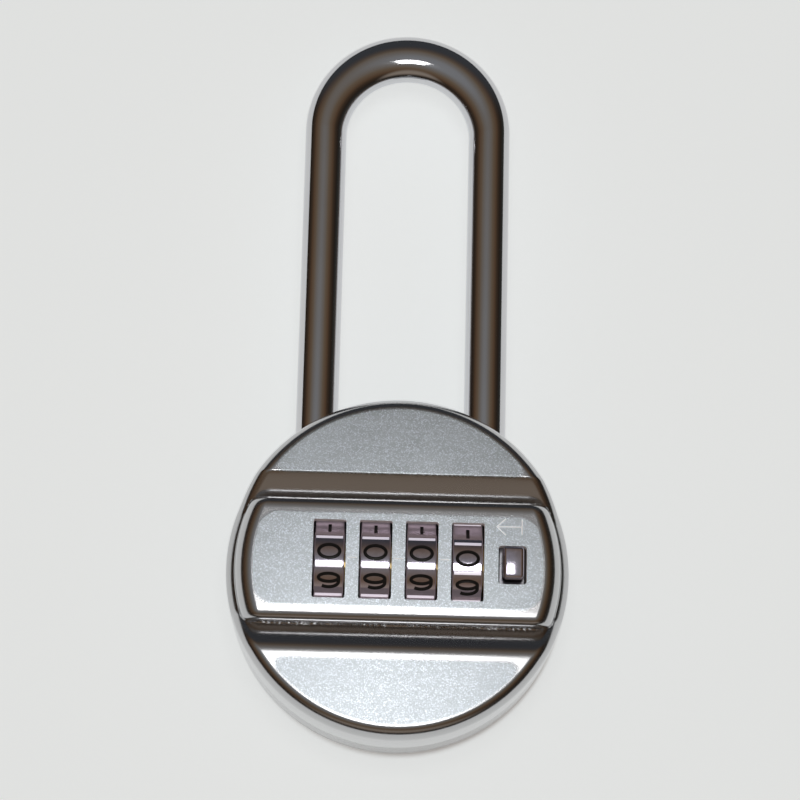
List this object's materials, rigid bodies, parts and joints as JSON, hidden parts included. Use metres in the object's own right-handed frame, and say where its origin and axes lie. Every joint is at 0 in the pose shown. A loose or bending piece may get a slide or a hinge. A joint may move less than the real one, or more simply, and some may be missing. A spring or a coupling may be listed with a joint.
{
  "type": "combination padlock",
  "caption": "Round combination padlock with a long shackle, number dials in windows across its face and a sliding release button.",
  "frame": {"origin": "centre of the rear cover's flat back, which the padlock lies on", "axes": "+Z is the outward normal of the face with the dials, +Y points along the shackle to its crown, +X is to the right when the face is read with the shackle up"},
  "size_m": [0.0508, 0.1114, 0.0222],
  "materials": {
    "satin_steel": "bead-blasted satin nickel on steel, with polished edges",
    "chrome": "bright chrome plate",
    "die_cast_zinc": "as cast",
    "brass": "turned",
    "spring_steel": "hardened, bright"
  },
  "bodies": {
    "casing": {"front_shell": "satin_steel", "rear_cover": "satin_steel", "core_front": "die_cast_zinc", "core_rear": "die_cast_zinc", "dial_shaft": "spring_steel", "detent_spring": "spring_steel", "button_spring": "spring_steel", "shackle_spring": "spring_steel", "heel_pin": "spring_steel", "core_screw_1": "spring_steel", "core_screw_2": "spring_steel", "core_screw_3": "spring_steel", "core_screw_4": "spring_steel"},
    "dial_1": {"dial_1": "chrome", "hub_1": "brass"},
    "dial_2": {"dial_2": "chrome", "hub_2": "brass"},
    "dial_3": {"dial_3": "chrome", "hub_3": "brass"},
    "dial_4": {"dial_4": "chrome", "hub_4": "brass"},
    "release": {"release_button": "chrome", "locking_slide": "spring_steel"},
    "shackle": {"shackle": "chrome"}
  },
  "joints": [
    {"name": "dial_1_turn", "type": "hinge", "parent": "casing", "child": "dial_1", "pos_m": [-0.01013, 0.00075, 0.0142], "axis": [1, 0, 0], "continuous": true},
    {"name": "dial_2_turn", "type": "hinge", "parent": "casing", "child": "dial_2", "pos_m": [-0.00337, 0.00075, 0.0142], "axis": [1, 0, 0], "continuous": true},
    {"name": "dial_3_turn", "type": "hinge", "parent": "casing", "child": "dial_3", "pos_m": [0.00337, 0.00075, 0.0142], "axis": [1, 0, 0], "continuous": true},
    {"name": "dial_4_turn", "type": "hinge", "parent": "casing", "child": "dial_4", "pos_m": [0.01013, 0.00075, 0.0142], "axis": [1, 0, 0], "continuous": true},
    {"name": "release_slide", "type": "slide", "parent": "casing", "child": "release", "axis": [-1, 0, 0], "range_m": [0, 0.0005], "stiffness_N_per_m": 300, "deforming": ["button_spring"]},
    {"name": "shackle_lift", "type": "slide", "parent": "casing", "child": "shackle", "axis": [0, 1, 0], "range_m": [0, 0.006], "deforming": ["shackle_spring"]}
  ]
}
